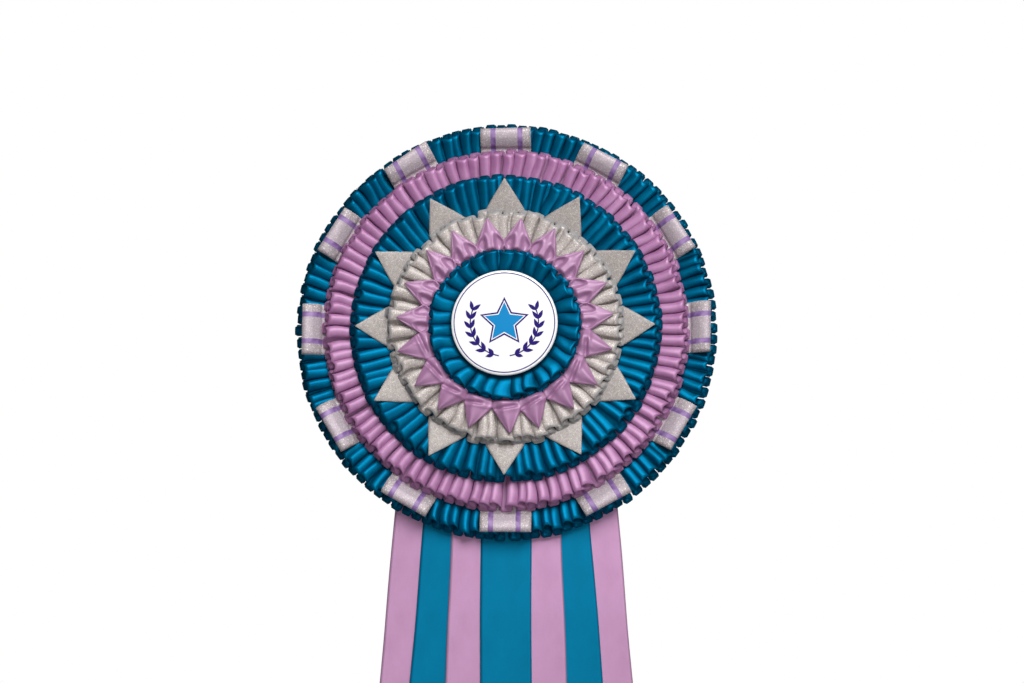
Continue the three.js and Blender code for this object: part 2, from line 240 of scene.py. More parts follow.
class Nodes:
    """Short calls for building one material's nodes."""

    def __init__(self, name):
        self.material = bpy.data.materials.new(name)
        self.material.use_nodes = True
        self.tree = self.material.node_tree
        self.shader = self.tree.nodes["Principled BSDF"]

    def add(self, kind, **settings):
        node = self.tree.nodes.new("ShaderNode" + kind)
        for key, value in settings.items():
            if key in node.inputs:
                self.feed(node.inputs[key], value)
            else:
                setattr(node, key, value)
        return node

    def feed(self, socket, value):
        if isinstance(value, bpy.types.NodeSocket):
            self.tree.links.new(value, socket)
        else:
            socket.default_value = value

    def set(self, **values):
        for key, value in values.items():
            self.feed(self.shader.inputs[key.replace("_", " ")], value)

    def maths(self, operation, a, b=0.0, clamp=False):
        node = self.add("Math", operation=operation, use_clamp=clamp)
        self.feed(node.inputs[0], a)
        self.feed(node.inputs[1], b)
        return node.outputs[0]

    def blend(self, factor, a, b, mode="MIX"):
        node = self.add("Mix", data_type="RGBA", blend_type=mode)
        self.feed(node.inputs[0], factor)
        self.feed(node.inputs[6], a)
        self.feed(node.inputs[7], b)
        return node.outputs[2]

    def scaled(self, source, scale):
        mapping = self.add("Mapping", vector_type="POINT")
        self.feed(mapping.inputs["Vector"], source)
        mapping.inputs["Scale"].default_value = scale
        return mapping.outputs[0]

    def ribbon_uv(self):
        return self.add("TexCoord").outputs["UV"]

    def within(self, value, middle, half):
        """1 where a value is less than half away from the middle."""
        off = self.maths("ABSOLUTE", self.maths("SUBTRACT", value, middle))
        return self.maths("LESS_THAN", off, half)

    def noise(self, vector, scale, detail=2.0, roughness=0.5):
        node = self.add("TexNoise", Scale=scale, Detail=detail, Roughness=roughness)
        self.feed(node.inputs["Vector"], vector)
        return node.outputs["Fac"]

    def ramp(self, factor, stops):
        node = self.add("ValToRGB")
        self.feed(node.inputs[0], factor)
        ramp = node.color_ramp
        while len(ramp.elements) < len(stops):
            ramp.elements.new(0.5)
        for element, (at, colour) in zip(ramp.elements, stops):
            element.position = at
            element.color = (*colour, 1)
        return node.outputs[0]

    def bump(self, height, strength, distance):
        node = self.add("Bump", Strength=strength, Distance=distance * MM)
        self.feed(node.inputs["Height"], height)
        self.feed(self.shader.inputs["Normal"], node.outputs[0])


def linear(r, g, b):
    """Linear colour from sRGB values of 0 to 255."""
    return tuple((c / 255 / 12.92) if c <= 10 else (((c / 255) + 0.055) / 1.055) ** 2.4
                 for c in (r, g, b))


SELVEDGE_FROM = 0.487  # of the width, from the ribbon's middle
BARE_HEM = 1.7  # width of the silver lame's cloth edge
STRIPE_PLACES, STRIPE_HALF = (0.25, 0.78), 0.05  # of the width
BAND_MIDDLE, BAND_HALF = 0.515, 0.265  # of the width, from stripe to stripe


def satin(name, colour, light, dark, width=WIDE, metal=0.6, rough=0.47, pulled=0.9, white_gloss=0.1):
    """Woven satin: fine warp lines along the ribbon, soft blotches and a gloss that is dyed unless
    white_gloss is 1. Pulled is how far soft ridges across the ribbon break the gloss up."""
    n = Nodes(name)
    uv = n.ribbon_uv()
    blotch = n.noise(n.scaled(uv, (0.35, 0.5, 1)), 1.0, 3.0, 0.55)
    tone = n.ramp(blotch, [(0.3, dark), (0.5, colour), (0.72, light)])
    warp = n.noise(n.scaled(uv, (1.2, 60, 1)), 1.0, 2.0, 0.6)
    weft = n.noise(n.scaled(uv, (48, 2, 1)), 1.0, 1.0, 0.5)
    threads = n.maths("ADD", n.maths("MULTIPLY", warp, 0.7), n.maths("MULTIPLY", weft, 0.3))
    streaks = n.ramp(threads, [(0.25, (0.9, 0.9, 0.9)), (0.75, (1.08, 1.08, 1.08))])
    body = n.blend(0.6, tone, n.blend(1.0, tone, streaks, "MULTIPLY"))
    edge = n.add("SeparateXYZ")
    n.feed(edge.inputs[0], uv)
    across = n.maths("DIVIDE", edge.outputs[1], width / CM)
    middle = n.maths("ABSOLUTE", n.maths("SUBTRACT", across, 0.5))
    selvedge = n.maths("GREATER_THAN", middle, SELVEDGE_FROM)
    body = n.blend(n.maths("MULTIPLY", selvedge, 0.4), body, (*[c * 0.35 for c in colour], 1))
    gloss = n.maths("ADD", n.maths("MULTIPLY", blotch, 0.14), rough - 0.07)
    gloss_tint = [min(1, white_gloss + (1 - white_gloss) * c / max(light)) for c in light]
    n.set(
        Base_Color=body,
        Metallic=metal,
        Roughness=gloss,
        Specular_IOR_Level=0.35 + 0.4 * white_gloss,
        Specular_Tint=(*gloss_tint, 1),
        Anisotropic=0.35,
    )
    tangent = n.add("Tangent", direction_type="UV_MAP", uv_map="UVMap")
    n.feed(n.shader.inputs["Tangent"], tangent.outputs[0])
    pulls = n.noise(n.scaled(uv, (4.5, 0.4, 1)), 1.0, 1.0, 0.5)
    relief = n.maths("ADD", n.maths("MULTIPLY", pulls, pulled), n.maths("MULTIPLY", threads, 0.25))
    n.bump(relief, 0.55, 0.3)
    return n.material


def sparkle(n, uv, grain, dark, mid, bright):
    """Colour of metallic grains, most of them mid grey while a few flash, and one random value
    for each grain."""
    cells = n.add("TexVoronoi", feature="F1", Scale=grain)
    n.feed(cells.inputs["Vector"], uv)
    shade = n.add("SeparateXYZ")
    n.feed(shade.inputs[0], cells.outputs["Color"])
    tone = n.ramp(shade.outputs[0], [(0.0, dark), (0.45, mid), (0.86, mid), (0.97, bright)])
    return tone, shade.outputs[1]


def silver(name, grain, shade, hem=False):
    """Metallic glitter ribbon; with a hem its outer edge is bare, translucent grey cloth."""
    n = Nodes(name)
    uv = n.ribbon_uv()
    greys = linear(158, 149, 145), linear(190, 180, 175), linear(236, 230, 224)
    tone, flake = sparkle(n, uv, grain, *[tuple(c * shade for c in grey) for grey in greys])
    cloud = n.ramp(n.noise(uv, 0.8, 3.0), [(0.3, (0.8,) * 3), (0.7, (1.15,) * 3)])
    tone = n.blend(0.5, tone, n.blend(1.0, tone, cloud, "MULTIPLY"))
    if hem:
        parts = n.add("SeparateXYZ")
        n.feed(parts.inputs[0], uv)
        bare = n.maths("GREATER_THAN", parts.outputs[1], (WIDE - BARE_HEM) / CM)
        tone = n.blend(n.maths("MULTIPLY", bare, 0.85), tone, (*linear(152, 151, 152), 1))
        flake = n.maths("MULTIPLY", flake, n.maths("SUBTRACT", 1.0, bare))
    n.set(
        Base_Color=tone,
        Metallic=n.maths("MULTIPLY", flake, 0.35),
        Roughness=n.maths("ADD", n.maths("MULTIPLY", flake, 0.3), 0.28),
    )
    n.bump(flake, 0.5, 0.12)
    return n.material


def striped(name):
    """Silver ribbon with two purple satin stripes, lightened in patches by a painted sheen, and a
    smoother band between them.
    """
    n = Nodes(name)
    uv = n.ribbon_uv()
    greys = linear(150, 139, 143), linear(182, 170, 174), linear(240, 232, 230)
    tone, flake = sparkle(n, uv, 20.0, *greys)
    parts = n.add("SeparateXYZ")
    n.feed(parts.inputs[0], uv)
    across = n.maths("DIVIDE", parts.outputs[1], WIDE / CM)
    between = n.within(across, BAND_MIDDLE, BAND_HALF)
    tone = n.blend(n.maths("MULTIPLY", between, 0.4), tone, (*linear(192, 175, 188), 1))
    first, second = [n.within(across, at, STRIPE_HALF) for at in STRIPE_PLACES]
    stripe = n.maths("ADD", first, second, clamp=True)
    weave = n.noise(n.scaled(uv, (3, 50, 1)), 1.0, 2.0)
    purple = n.ramp(weave, [(0.3, linear(96, 61, 125)), (0.7, linear(125, 89, 152))])
    # Painted sheen: the purple stripes are lightened towards a pale lilac in random patches, standing
    # in for the light they catch where they fold.
    painted_sheen = n.maths("SUBTRACT", n.noise(uv, 1.1, 2.0), 0.42, clamp=True)
    purple = n.blend(n.maths("MULTIPLY", painted_sheen, 3.0, clamp=True), purple, (*linear(176, 146, 196), 1))
    n.set(
        Base_Color=n.blend(stripe, tone, purple),
        Metallic=n.maths("MULTIPLY", n.maths("MULTIPLY", flake, 0.4), n.maths("SUBTRACT", 1.0, stripe)),
        Roughness=n.maths("ADD", n.maths("MULTIPLY", flake, 0.2), 0.42),
        Sheen_Weight=0.15,
    )
    n.bump(flake, 0.35, 0.1)
    return n.material


def board(name, colour, flecks=0.25, roughness=0.85):
    """Card: short fibres, mottling and a slightly uneven face."""
    n = Nodes(name)
    place_in = n.add("TexCoord").outputs["Object"]
    mottle = n.noise(place_in, 60.0, 4.0, 0.6)
    fibre = n.noise(n.scaled(place_in, (900, 900, 3200)), 1.0, 3.0, 0.7)
    dull, clean = tuple(c * 0.88 for c in colour), tuple(min(1, c * 1.06) for c in colour)
    tone = n.ramp(mottle, [(0.3, dull), (0.7, clean)])
    fleck = tuple(c * (1 - flecks) for c in colour)
    body = n.blend(n.maths("GREATER_THAN", fibre, 0.66), tone, (*fleck, 1))
    n.set(Base_Color=body, Roughness=roughness)
    n.bump(fibre, 0.2, 0.1)
    return n.material


def film(name, colour):
    """Print under a glossy film, with faint handling marks in the gloss."""
    n = Nodes(name)
    place_in = n.add("TexCoord").outputs["Object"]
    marks = n.noise(place_in, 55.0, 4.0, 0.6)
    tone = n.ramp(marks, [(0.2, tuple(c * 0.975 for c in colour)), (0.8, colour)])
    n.set(
        Base_Color=tone,
        Roughness=n.maths("ADD", n.maths("MULTIPLY", marks, 0.08), 0.08),
        Coat_Weight=0.5,
        Coat_Roughness=0.04,
    )
    n.bump(n.noise(place_in, 240.0, 2.0), 0.02, 0.1)
    return n.material


def nickel(name):
    """Plated steel, brushed along the pin."""
    n = Nodes(name)
    place_in = n.add("TexCoord").outputs["Object"]
    brushed = n.noise(n.scaled(place_in, (400, 6000, 6000)), 1.0, 3.0, 0.6)
    tone = n.ramp(brushed, [(0.3, linear(176, 178, 182)), (0.7, linear(208, 209, 212))])
    gloss = n.maths("ADD", n.maths("MULTIPLY", brushed, 0.2), 0.18)
    n.set(Base_Color=tone, Metallic=1.0, Roughness=gloss)
    n.bump(brushed, 0.15, 0.05)
    return n.material


# Painted shade: the pleated tiers' satins are darker copies of the same ribbons that hang as tails
# (teal_hung, lilac_hung below). They have a darker base colour and, for teal, a metallic share of 0.7
# that cuts the diffuse, standing in for the shade deep among the pleats.
TEAL_PLEATS_SHADED_COLOURS = linear(0, 95, 131), linear(0, 108, 145), linear(0, 84, 119)
LILAC_PLEATS_SHADED_COLOURS = linear(170, 115, 161), linear(182, 130, 173), linear(156, 101, 147)
teal_pleats_shaded = satin("teal_satin", *TEAL_PLEATS_SHADED_COLOURS, metal=0.7, rough=0.46)
teal_narrow_pleats_shaded = satin("teal_satin_narrow", *TEAL_PLEATS_SHADED_COLOURS, width=NARROW, metal=0.7, rough=0.46)
lilac_pleats_shaded = satin("lilac_satin", *LILAC_PLEATS_SHADED_COLOURS, metal=0.15, rough=0.44, white_gloss=1.0)
lilac_soft = satin("lilac_satin_folded", linear(190, 137, 181), linear(199, 149, 191),
                   linear(178, 125, 169), metal=0.12, rough=0.42, pulled=0.1, white_gloss=1.0)
teal_hung = satin("teal_satin_hung", linear(0, 109, 146), linear(0, 114, 151),
                  linear(0, 105, 140), metal=0.25, rough=0.5, pulled=0.1)
lilac_hung = satin("lilac_satin_hung", linear(184, 140, 176), linear(189, 145, 182),
                   linear(178, 134, 170), metal=0.25, rough=0.5, pulled=0.1)
lame = silver("silver_lame", 20.0, 0.94, hem=True)
glitter = silver("silver_glitter", 22.0, 0.69)
stripes = striped("striped_ribbon")
greyboard = board("greyboard", linear(196, 186, 166))
cover = board("cover_card", linear(244, 242, 236), flecks=0.08, roughness=0.6)
white_film = film("badge_white", (0.93, 0.93, 0.94))
blue_film = film("badge_blue", linear(28, 138, 200))
navy_film = film("badge_navy", linear(46, 31, 114))
metal = nickel("pin_nickel")


# ------------------------------------------------------------------ pleated tiers

GAP = 0.3  # between a pressed pleat and the card in front of it
OPEN_BEYOND = 2.0  # how far inside the next tier's rim the pleats begin to open
ACROSS = 12  # steps across a pleated ribbon
LEAN = 0.30  # how far all the pleats lean clockwise, for each millimetre of height
LOBE_LEVEL = 0.38  # how much lower one bulge counts, for the setback from the rim
JOIN_AT = math.pi  # angle at which a ribbon's two ends meet
NOTCH = 3.0  # how deep the rear lobes' corners are rounded off at the rim
LOOP_COUNT = 12
LOOP_SHADE = 15.0  # half width over which a loop presses the pleats below it
# Half of one pleat's outline, from the middle of the front lobe to the middle of the rear one:
# how far it has gone along the rim, in pitches, and how far down from the crest, in bulges of the
# round front lobe and in whole heights of the pleat.
OUTLINE = np.array([
    (0.000, 0.00, 0.00), (0.165, 0.10, 0.00), (0.320, 0.34, 0.00), (0.430, 0.66, 0.00),
    (0.470, 1.00, 0.00), (0.430, 1.40, 0.00), (0.280, 1.74, 0.00), (0.125, 1.93, 0.02),
    (0.028, 1.97, 0.10), (0.045, 1.20, 0.47), (0.170, 0.50, 0.79), (0.330, 0.15, 0.945),
    (0.500, 0.00, 1.00),
])


def pleat_outline(around):
    """The whole turn, sampled at `around` even steps of its length on an ordinary pleat."""
    back = OUTLINE[-2::-1] * (-1, 1, 1) + (1, 0, 0)
    whole = np.concatenate([OUTLINE, back])
    size = np.stack([whole[:, 0] * 8, whole[:, 1] * 3.2 + whole[:, 2] * 9], axis=1)
    length = np.concatenate([[0], np.cumsum(np.linalg.norm(np.diff(size, axis=0), axis=1))])
    at = np.arange(around) / around * length[-1]
    i = np.clip(np.searchsorted(length, at, side="right") - 1, 0, len(whole) - 2)
    f = ((at - length[i]) / (length[i + 1] - length[i]))[:, None]
    before, p, q = whole[np.maximum(i - 1, 0)], whole[i], whole[i + 1]
    after = whole[np.minimum(i + 2, len(whole) - 1)]
    return 0.5 * (2 * p + (q - before) * f + (2 * before - 5 * p + 4 * q - after) * f**2
                  + (3 * p - before - 3 * q + after) * f**3)


def pleated_tier(name, node, pleats, strip, pressed_by, open_from, seed, setback=4.6, around=24,
                 spread=0.16, loops=False, edge_noise=0.45, ragged=1.0, beyond=0.0, ease=0.8,
                 full_round=0.40, shuffle=0.09):
    """Pleats round a rim. Along the ribbon each pleat is one turn of a meander, so that its front
    lobe hides the narrow neck behind it and the rear lobes show between them at the rim.

    strip is the ribbon's width. The pleats are pressed flat inside open_from and open up towards
    the rim, sooner with a smaller ease, and their crests end a setback short of it. Ragged scales
    what varies from pleat to pleat, beside spread (lean), edge_noise (cut edge) and shuffle
    (pitch). beyond is how far the rim stands past the node's."""
    rng = np.random.default_rng(seed)
    rim = radius_of(node) - 0.3 + beyond
    hole = radius_of(node) - strip + 0.3
    rear = rear_of(node) + SHEET / 2
    rim_front = front_of(node) - SHEET / 2
    pressed_front = rear_of(pressed_by) - GAP - SHEET / 2
    n = pleats * around
    u = np.arange(n)[:, None] / around  # pleat coordinate, with a front lobe at each whole number
    v = np.linspace(0, 1, ACROSS + 1)[None, :]

    # One random value for each pleat, and slower ones that several pleats share.
    pitch = drift(u, rng.normal(0, shuffle * ragged, pleats))
    broad = drift(u, rng.normal(1.0, 0.05 * ragged, pleats))
    tall = drift(u, rng.uniform(1 - 0.16 * ragged, 1.0, pleats))
    tilt = drift(u / pleats * 11, rng.normal(0.2, 1.0, 11))
    tilt = tilt + 0.6 * drift(u, rng.normal(0, 1, pleats))
    sway = drift(u / pleats * 13, rng.normal(0, 0.7, 13))
    sway = sway + drift(u, rng.normal(0, 0.45 * ragged, pleats))
    ends = drift(u * 2, rng.normal(0, edge_noise, 2 * pleats))
    back = setback * (1 + 0.25 * drift(u, rng.normal(0, 1, pleats)))

    # Where the two ends of the ribbon meet, the pleats crowd together.
    from_join = (u / pleats * TAU - JOIN_AT + math.pi) % TAU - math.pi
    squeeze = 0.32 * peak(from_join, 0.10) * np.sin(from_join * 22)

    turn = np.tile(pleat_outline(around), (pleats, 1))
    progress, bulges, drops = turn[:, 0:1], turn[:, 1:2], turn[:, 2:3]
    level = 1 - LOBE_LEVEL * bulges - drops  # of the cut edge: 1 at the crest and 0 at the rear
    # Between the rounded ends of the rear lobes.
    notch = NOTCH * smooth((bulges - 0.5) / 1.3) * smooth((drops + 0.02) / 0.12)
    outer = rim - back * np.clip((level - 0.2) / 0.8, 0, 1) - notch + ends
    r = hole + (outer - hole) * v
    opened = np.clip((r - open_from + 1) / (rim - back - open_from + 1), 0, 1.0) ** ease
    full = (rim_front - rear) * tall
    pressed = pressed_front - rear
    high = pressed + (full - pressed) * opened
    if loops:
        from_loop = np.abs((u / pleats * LOOP_COUNT + 0.5) % 1 - 0.5) * TAU / LOOP_COUNT * r
        under = 1 - smooth((from_loop - LOOP_SHADE) / 8)
        high = high * (1 - 0.2 * under * opened)
    spacing = TAU * r / pleats
    bulge = np.minimum(0.45 * spacing * broad, full_round * high)
    down = bulges * bulge + drops * high
    base_angle = (np.floor(u) + progress + pitch + squeeze) * TAU / pleats
    height = rear + high - down
    rise = high / 2 - down
    x = (LEAN + spread * tilt) * rise
    x = x + 0.10 * tilt * np.sin(math.pi * (v - 0.45)) * opened * spacing
    x = x + sway * opened * np.sin(TAU * v)
    P = polar(base_angle + x / r, r, height)

    along, cloth = cloth_lengths(P, closed=True)
    cloth = cloth / cloth[:, -1:] * strip
    middle = along[:, ACROSS // 2:ACROSS // 2 + 1]
    obj = grid_object(name, P, np.repeat(middle, ACROSS + 1, axis=1), cloth, closed=True)
    obj["cloth_length"] = float(along[-1].mean())
    return obj


tiers = [
    dict(node="tier_1_ribbon", pleats=118, strip=WIDE, pressed_by="tier_2_card",
         open_from=radius_of("tier_2_ribbon") - OPEN_BEYOND, seed=11, loops=True, beyond=2.6),
    dict(node="tier_2_ribbon", pleats=95, strip=WIDE, pressed_by="tier_3_card",
         open_from=radius_of("tier_3_ribbon") - OPEN_BEYOND, seed=23, beyond=0.8),
    dict(node="tier_3_ribbon", pleats=78, strip=WIDE, pressed_by="tier_4_card",
         open_from=radius_of("tier_4_ribbon") - OPEN_BEYOND, seed=37, around=28, beyond=0.4),
    dict(node="tier_4_ribbon", pleats=54, strip=WIDE, pressed_by="folded_point_ring",
         open_from=radius_of("tier_5_ribbon") + 5.7, seed=41, setback=4.0, around=30,
         edge_noise=0.9, ragged=1.9),
    dict(node="tier_5_ribbon", pleats=30, strip=NARROW, pressed_by="centre_card",
         open_from=radius_of("badge_disc") - 1.5, seed=53, setback=4.0, around=36, ragged=1.4,
         spread=0.24, ease=0.42, full_round=0.44, shuffle=0.03),
]
# The tiers take the darker, painted-shade copies of the satins.
tier_looks = {
    "tier_1_ribbon": (teal_pleats_shaded, "teal_satin"), "tier_2_ribbon": (lilac_pleats_shaded, "lilac_satin"),
    "tier_3_ribbon": (teal_pleats_shaded, "teal_satin"), "tier_4_ribbon": (lame, "silver_lame"),
    "tier_5_ribbon": (teal_narrow_pleats_shaded, "teal_satin"),
}
for tier in tiers:
    node = tier["node"]
    ring = pleated_tier("pleats_" + node, **tier)
    material, slot_name = tier_looks[node]
    place(ring, "rosette", material, slot_name, node)


# ------------------------------------------------------------------ loops


def curve_through(points, steps):
    """Catmull-Rom curve through 2D points, evenly stepped by point."""
    p = np.asarray(points, float)
    p = np.concatenate([[2 * p[0] - p[1]], p, [2 * p[-1] - p[-2]]])
    out = []
    for i in range(1, len(p) - 2):
        t = np.linspace(0, 1, steps, endpoint=False)[:, None]
        a, b, c, d = p[i - 1], p[i], p[i + 1], p[i + 2]
        out.append(0.5 * (2 * b + (c - a) * t + (2 * a - 5 * b + 4 * c - d) * t**2
                          + (3 * b - a - 3 * c + d) * t**3))
    return np.concatenate(out + [p[-2:-1]])


tier2_rim = radius_of("tier_2_ribbon")
low = rear_of("tier_2_ribbon") - 2.1  # height of the rear legs where tier 2 pinches them
LOOP_ROOT = 7.0  # how far the two legs are drawn inside tier 2's rim
LOOP_SHEET = 0.35
rng = np.random.default_rng(5)
for index in range(LOOP_COUNT):
    node = f"loop_{index + 1:02d}"
    centre = index * TAU / LOOP_COUNT
    fold = radius_of("tier_1_ribbon") - 3.3 + rng.uniform(-0.5, 0.4)
    swell = rng.uniform(0.0, 1.2)
    # Radius and height along the rear leg, round the fold and back along the front leg.
    line = curve_through([
        (tier2_rim - LOOP_ROOT, low), (tier2_rim + 1, low + 0.5),
        (fold - 9, low + 3.4), (fold - 3, low + 5.2), (fold - 0.7, low + 6.3), (fold, low + 7.9),
        (fold - 1.0, low + 9.3 + swell * 0.4), (fold - 3.6, low + 9.7 + swell * 0.7),
        (fold - 8, low + 8.0 + swell), (fold - 12.5, low + 4.6 + swell * 0.5),
        (tier2_rim + 0.8, low + 1.7), (tier2_rim - LOOP_ROOT, low + 1.2),
    ], 6)
    out = line[:, :1] - tier2_rim
    t = np.linspace(-1, 1, 15)
    tangent = t[None, :] * (WIDE / 2 - 0.2)
    crown = 0.5 * (1 - t**2)[None, :] * smooth(out / 8)
    skew = rng.normal(0, 0.012)
    fold_skew = rng.normal(0, 0.6) * t[None, :] * smooth((line[:, :1] - fold + 10) / 10)
    radial = line[:, :1] + fold_skew
    height = line[:, 1:] + crown + rng.normal(0, 0.25) * t[None, :] * smooth(out / 6)
    x = tangent + skew * (radial - tier2_rim)
    P = np.stack([
        radial * math.sin(centre) + x * math.cos(centre),
        -height,
        radial * math.cos(centre) - x * math.sin(centre),
    ], axis=-1)
    along, cloth = cloth_lengths(P, closed=False)
    obj = grid_object("ribbon_" + node, P, along, cloth, thickness=LOOP_SHEET)
    place(obj, "rosette", stripes, "striped_ribbon", node)


# ------------------------------------------------------------------ star points


def lens(name, outline, rise, thickness, steps=17, edge=0.5):
    """A flat closed pocket: outline(a, b) gives (x, z, s) of its middle sheet, and rise(a, b) the
    front's height above that. A smaller edge power makes the sides steeper."""
    a, b = np.meshgrid(np.linspace(-1, 1, steps), np.linspace(0, 1, steps), indexing="ij")
    x, z, s = outline(a, b)
    front = s + thickness / 2 + rise(a, b) * np.clip(1 - a**2, 0, 1) ** edge
    back = s - thickness / 2
    F = np.stack([x, -front, z], axis=-1)
    B = np.stack([x, -back, z], axis=-1)
    ni, nj = a.shape
    points = np.concatenate([F.reshape(-1, 3), B.reshape(-1, 3)])
    index = np.arange(ni * nj).reshape(ni, nj)
    back_index = index + ni * nj
    faces, corners = [], []
    for i in range(ni - 1):
        for j in range(nj - 1):
            quad = [(i, j), (i, j + 1), (i + 1, j + 1), (i + 1, j)]
            faces.append([index[q] for q in quad])
            faces.append([back_index[q] for q in reversed(quad)])
            corners += [(x[q] / CM, z[q] / CM) for q in quad + quad[::-1]]
    rim = [(i, 0) for i in range(ni)] + [(ni - 1, j) for j in range(1, nj)]
    rim += [(i, nj - 1) for i in range(ni - 2, -1, -1)] + [(0, j) for j in range(nj - 2, 0, -1)]
    for p, q in zip(rim, rim[1:] + rim[:1]):
        faces.append([index[p], index[q], back_index[q], back_index[p]])
        corners += [(x[k] / CM, z[k] / CM) for k in (p, q, q, p)]
    return new_object(name, points, [[int(k) for k in f] for f in faces], corners)


def turned_by(obj, angle):
    """Turns a mesh clockwise about the rosette's axis."""
    c, s = math.cos(angle), math.sin(angle)
    co = np.empty(len(obj.data.vertices) * 3)
    obj.data.vertices.foreach_get("co", co)
    co = co.reshape(-1, 3)
    x, z = co[:, 0] * c + co[:, 2] * s, -co[:, 0] * s + co[:, 2] * c
    obj.data.vertices.foreach_set("co", np.stack([x, co[:, 1], z], axis=1).ravel())
    obj.data.update()


STAR_COUNT = 12
POINT_SHEET = 0.7  # the folded layers behind a point's face
STAR_FULLNESS = 0.05  # how far the star points' sides bow out, of their width
star_low, star_high = span("star_point_01")
star_root, star_tip = star_low[2], star_high[2]
star_half = (star_high[0] - star_low[0]) / 2
star_rear, star_front = -star_high[1], -star_low[1]
rng = np.random.default_rng(17)
for index in range(STAR_COUNT):
    node = f"star_point_{index + 1:02d}"
    puff = rng.uniform(0.7, 1.2)
    twist = rng.normal(0, 0.35)
    tip = star_tip + rng.uniform(-0.6, 0.4)
    aside = rng.normal(0, 0.35)

    def outline(a, b):
        reach = b**0.98
        half = star_half * (1 - reach) * (1 + STAR_FULLNESS * np.sin(math.pi * reach)) + 0.25
        z = star_root + (tip - star_root) * reach
        s = star_rear + 0.5 + (star_front - star_rear - 0.9) * reach + twist * a * (1 - b)
        return a * half + aside * reach, z, s

    def rise(a, b):
        return puff * (1 - b) ** 0.6 * (0.4 + 0.6 * b)

    obj = lens("ribbon_" + node, outline, rise, POINT_SHEET)
    turned_by(obj, index * TAU / STAR_COUNT)
    place(obj, "rosette", glitter, "silver_glitter", node)
    side = (star_tip - star_root) * MM


# ------------------------------------------------------------------ ring of folded points

FOLDED_COUNT = 19
FIRST_FOLDED = math.radians(8.7)
# Across a point, x runs from -1 to 1, and along it b runs from 0 at the root to 1 at the tip.
EDGE_AT = 0.88
MOUTH_AT, MOUTH_HALF, MOUTH_RIM = 0.26, (0.34, 0.25), 1.15  # b, sizes in x and b, in those sizes
LIP_AT = 0.27
GROOVE_DEPTH, LIP_RISE = 2.3, 0.7
LOW_SIDE = -0.15  # cosine of the angle past which points show a lip in place of two mouths
ring_low, ring_high = span("folded_point_ring")
folded_tip = (ring_high[0] - ring_low[0]) / 2
folded_seat = -ring_high[1]
folded_root = radius_of("tier_5_ribbon") - 3.6  # tucked under tier 5's rim
folded_half = 14.0
rng = np.random.default_rng(29)
for index in range(FOLDED_COUNT):
    angle = FIRST_FOLDED + index * TAU / FOLDED_COUNT
    low_side = math.cos(angle) < LOW_SIDE
    tip = folded_tip + rng.uniform(-0.8, 1.0)
    aside = rng.normal(0, 1.2)
    crown_height = rng.uniform(4.0, 4.9) * (1.3 if low_side else 1.0)
    deep = rng.uniform(2.6, 3.8, 2) * ((0.0, 0.22) if low_side else (1.0, 0.85))
    scoop_at = (-rng.uniform(0.50, 0.60), rng.uniform(0.50, 0.60))
    ridge_at = rng.choice([-1, 1]) * rng.uniform(0.35, 0.6) if low_side else rng.uniform(-0.25, 0.25)
    lip_from = rng.uniform(-0.9, -0.4)
    edge_roll = 0.45 if low_side else 0.9

    def outline(a, b):
        half = folded_half * (0.60 + 0.40 * smooth(b / 0.30)) * (1 - b) ** 0.92
        half = half * (1 + 0.05 * np.sin(math.pi * b)) + 0.15
        z = folded_root + (tip - folded_root) * b
        s = folded_seat + 0.8 + 2.4 * smooth((b - 0.1) / 0.9)
        return np.sin(a * math.pi / 2) * half + aside * b, z, s

    def rise(a, b):
        x = np.sin(a * math.pi / 2)
        # A long ridge falls away to both sides, down to the rolled folds along the two edges.
        offset = x - ridge_at * (1 - b)
        reach = np.where(offset > 0, 1 - ridge_at * (1 - b), 1 + ridge_at * (1 - b))
        slope = np.clip(1 - np.abs(offset) / reach, 0, 1)
        body = crown_height * (1 - b) ** 0.5 * (0.34 + 0.66 * smooth(slope) ** 0.8)
        roll = edge_roll * peak(np.abs(x) - EDGE_AT, 0.11) * (1 - b) ** 0.4
        hollow = 0.0  # an oval mouth with a rolled lip on each side of the root
        for depth, at in zip(deep, scoop_at):
            far = np.sqrt(((x - at) / MOUTH_HALF[0]) ** 2 + ((b - MOUTH_AT) / MOUTH_HALF[1]) ** 2)
            hollow = hollow + depth * smooth(MOUTH_RIM - far)
            hollow = hollow - 0.18 * depth * peak(far - MOUTH_RIM, 0.2)
        lip = 0.0  # a groove across the point with a rolled edge on its outer side
        if low_side:
            line = b - LIP_AT - 0.07 * x
            lip = GROOVE_DEPTH * peak(line - 0.01, 0.042) * smooth((x - lip_from) * 2.5)
            lip = lip - LIP_RISE * peak(line - 0.095, 0.05)
        tuck = smooth((b - 0.02) / 0.14)
        return np.maximum(body + roll - hollow - lip, 0.3) * tuck + 0.15

    obj = lens(f"folded_point_{index + 1:02d}", outline, rise, POINT_SHEET, steps=33, edge=0.34)
    turned_by(obj, angle)
    place(obj, "rosette", lilac_soft, "lilac_satin", "folded_point_ring")


# ------------------------------------------------------------------ badge

badge_radius = radius_of("badge_disc")
badge_rear, badge_front = rear_of("badge_disc"), front_of("badge_disc")
ROUND_OVER = 1.7
DOME_RISE = 0.55  # of the printed face, from where it rounds over to its middle
BADGE_SEGMENTS = 160
LONGEST_EDGE = 2.5  # of a printed shape, before it is split to follow the dome
flat_radius = badge_radius - ROUND_OVER


def dome(r):
    """Height of the badge's face at a radius."""
    gentle = DOME_RISE * (np.minimum(r, flat_radius) / flat_radius) ** 2
    past = np.clip((r - flat_radius) / ROUND_OVER, 0, 1)
    side = badge_front - DOME_RISE - badge_rear - 0.8
    return badge_front - gentle - side * (1 - np.sqrt(1 - past**2))


